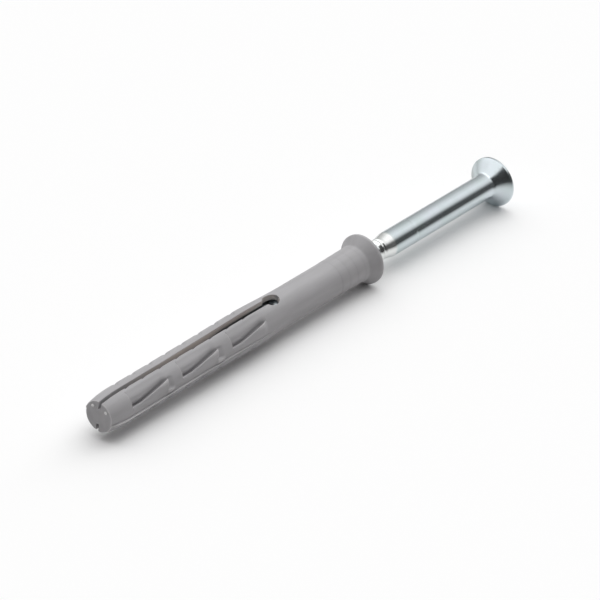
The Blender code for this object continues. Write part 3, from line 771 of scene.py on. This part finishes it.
def zinc():
    """""Bright zinc plating: a mirror-like metal, slightly rough, with a bluish film whose tint drifts
    along the nail, a painted highlight that makes it whiter over the land and the chamfer, and
    faint lengthwise drawing lines."" """
    made, tree, shader = new_material("bright_zinc_plating")
    film = noise(tree, 160.0, 3.0)
    tint = colour_ramp(tree, film, (0.3, 0.72), ((0.69, 0.785, 0.79), (0.77, 0.825, 0.875)))
    # Painted highlight: whiter over the land and the chamfer
    along = ranged(tree, coordinate(tree, "X"), 0.0, 100.0 * MM)
    painted_land_highlight = grey_ramp(tree, along, (0.28, 0.3, 0.345, 0.353), (0.0, 1.0, 1.0, 0.0))
    drawn = noise(tree, (120.0, 3000.0, 3000.0), 3.0)
    bump = add(tree, "Bump", {"Strength": 0.12, "Distance": 0.02 * MM, "Height": drawn})
    connect(tree, shader, {
        "Base Color": mixed(tree, painted_land_highlight, tint, (0.97, 0.99, 0.98, 1.0)),
        "Metallic": 1.0,
        "Roughness": ranged(tree, drawn, 0.3, 0.7, 0.12, 0.24),
        "Normal": bump.outputs["Normal"],
    })
    return made


nail = closed_mesh("drive_nail", nail_head_and_shank() + thread_pieces())
nail.data.materials.append(zinc())
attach(nail, "nail")
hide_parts("nail_screw")


# The table is a plain white top, wide enough for every view. The fixing lies on it on the rims of
# its collar and of its head.

TABLE_HALF = 4.0

# Painted reflection: level of the table in the nail's mirror image, in metres from in front of the axis to
# behind it
STRIP_HALF = 0.2
STRIP_PLACES = np.array([-0.2, -0.077, -0.037, -0.025, -0.017, 0.0, 0.012, 0.02, 0.035, 0.2])
# Painted shade, bright near the axis and duller far off, with a painted shadow of the shank at 12 mm behind
PAINTED_REFLECTION_LEVELS = np.array([0.08, 0.22, 0.45, 0.65, 0.76, 0.9, 0.5, 0.6, 0.78, 0.6])


def white_paint():
    """""White that renders white where the light falls on it in full and keeps the shadow. For mirror-like
    rays its colour is a painted reflection: painted shade, bright close by and duller far in front and
    behind, with a painted shadow of the shank just behind the axis. The light that it throws back at
    the fixing is weaker than its own white."" """
    made, tree, shader = new_material("white_table")
    share = ranged(tree, coordinate(tree, "Y"), -STRIP_HALF, STRIP_HALF)
    places = (STRIP_PLACES + STRIP_HALF) / (2.0 * STRIP_HALF)
    # Painted reflection and painted shadow, seen only by mirror-like rays
    near = grey_ramp(tree, share, places, PAINTED_REFLECTION_LEVELS)
    ray = add(tree, "LightPath", {})
    mirrored = mixed(tree, ray.outputs["Is Glossy Ray"], (0.75, 0.74, 0.74, 1.0), near)
    connect(tree, shader, {
        "Base Color": mixed(tree, ray.outputs["Is Camera Ray"], mirrored, (1.0, 1.0, 1.0, 1.0)),
        "Roughness": 1.0,
        "Specular IOR Level": 0.0,
    })
    return made


corners = np.array([(-1.0, -1.0, 0.0), (1.0, -1.0, 0.0), (1.0, 1.0, 0.0), (-1.0, 1.0, 0.0)])
table_mesh = bpy.data.meshes.new("table")
table_mesh.from_pydata(TABLE_HALF * corners, [], [(0, 1, 2, 3)])
table_mesh.materials.append(white_paint())
table = bpy.data.objects.new("table", table_mesh)
bpy.context.scene.collection.objects.link(table)


# The light is a photographer's light room: a broad pale screen above, a paler wall behind, and a
# dark room in front. It is a function of the angle round the fixing's long axis.

# Levels of the light room, and of its left side as the nail mirrors it, at angles in degrees from the
# back of the table (-90) over the top (0) to the front (90)
SCREEN_ANGLES = np.array([-90.0, -77.0, -61.0, -40.0, -20.0, 5.0, 14.0, 29.0, 35.0, 42.0, 48.0, 58.0, 90.0])
SCREEN_LEVELS = np.array([0.33, 0.37, 0.445, 0.54, 0.7, 0.83, 0.81, 0.74, 0.63, 0.5, 0.28, 0.08, 0.07])
LEFT_ANGLES = np.array([-90.0, -74.0, -56.0, -38.0, 8.0, 15.0, 21.0, 90.0])
LEFT_LEVELS = np.array([0.48, 0.62, 0.82, 0.98, 1.0, 0.8, 0.04, 0.03])


def calculated(tree, operation, *values):
    """Result of one operation on one or two numbers."""
    return add(tree, "Math", dict(enumerate(values)), operation=operation).outputs["Value"]


def wall(tree, turn, angles, levels):
    """Grey level at each angle round the axis, straight between the angles that are given."""
    share = ranged(tree, turn, -0.5 * math.pi, 0.5 * math.pi)
    return grey_ramp(tree, share, (angles + 90.0) / 180.0, levels)


def studio_air():
    """Light of the room. As a light it has the screen's level, less towards the sleeve's tip, low in
    front and close above the table behind. Mirror-like rays see the screen's own level on the
    right and another one on the left, both stronger in the middle: 1.5 times there, and 1.04 times
    at the sides. The camera sees plain white."""
    world = bpy.data.worlds.new("studio")
    world.use_nodes = True
    air = world.node_tree
    x = coordinate(air, "X", "Generated")
    front = calculated(air, "MULTIPLY", coordinate(air, "Y", "Generated"), -1.0)
    turn = calculated(air, "ARCTAN2", front, coordinate(air, "Z", "Generated"))
    screen = wall(air, turn, SCREEN_ANGLES, SCREEN_LEVELS)

    end = ranged(air, x, -0.9, 0.1, step="SMOOTHSTEP")
    low = ranged(air, turn, math.radians(8.0), math.radians(50.0), 1.0, 0.3)
    behind = ranged(air, turn, math.radians(-88.0), math.radians(-58.0), 0.1, 1.0)
    level = calculated(air, "MULTIPLY", end, calculated(air, "MULTIPLY", behind, low))
    dimmed = add(air, "VectorMath", {"Vector": screen, "Scale": level}, operation="SCALE")
    light = air.nodes["Background"]
    connect(air, light, {"Color": dimmed.outputs["Vector"], "Strength": 2.62})

    left = wall(air, turn, LEFT_ANGLES, LEFT_LEVELS)
    side = ranged(air, x, 0.4, -0.3, step="SMOOTHSTEP")
    above = ranged(air, calculated(air, "ABSOLUTE", x), 0.15, 0.55, 1.5, 1.04, step="SMOOTHSTEP")
    mirrored = add(air, "Background", {"Color": mixed(air, side, screen, left), "Strength": above})

    seen = add(air, "Background", {"Color": (1.0, 1.0, 1.0, 1.0)})
    ray = add(air, "LightPath", {})
    rays = {"Fac": ray.outputs["Is Glossy Ray"], 1: light.outputs["Background"]}
    gloss = add(air, "MixShader", {**rays, 2: mirrored.outputs["Background"]})
    rays = {"Fac": ray.outputs["Is Camera Ray"], 1: gloss.outputs["Shader"]}
    view = add(air, "MixShader", {**rays, 2: seen.outputs["Background"]})
    air.links.new(view.outputs["Shader"], air.nodes["World Output"].inputs["Surface"])
    return world


bpy.context.scene.world = studio_air()


# The camera has a long lens and stands at the front left, 30 degrees above the table. It is aimed at
# the axis where the collar's top face is, and then shifted aside and upwards in its own plane.

AZIMUTH = math.radians(-50.06)
ELEVATION = math.radians(30.03)
DISTANCE = 1.658
ASIDE = -0.01667
UPWARDS = -0.01088

target = Vector((AXIS_X * MM, 0.0, AXIS_Z * MM))
right = Vector((math.cos(AZIMUTH), math.sin(AZIMUTH), 0.0))
level = Vector((math.sin(AZIMUTH), -math.cos(AZIMUTH), 0.0))
back = level * math.cos(ELEVATION) + Vector((0.0, 0.0, math.sin(ELEVATION)))
upward = back.cross(right)
lens = bpy.data.cameras.new("camera")
lens.sensor_width = 36.0
lens.lens = 378.5
lens.clip_start = 0.05
lens.clip_end = 20.0
camera = bpy.data.objects.new("camera", lens)
bpy.context.scene.collection.objects.link(camera)
stand = Matrix.Translation(target + back * DISTANCE + right * ASIDE + upward * UPWARDS)
camera.matrix_world = stand @ Matrix((right, upward, back)).transposed().to_4x4()
bpy.context.scene.camera = camera
bpy.context.scene.view_settings.view_transform = "Standard"
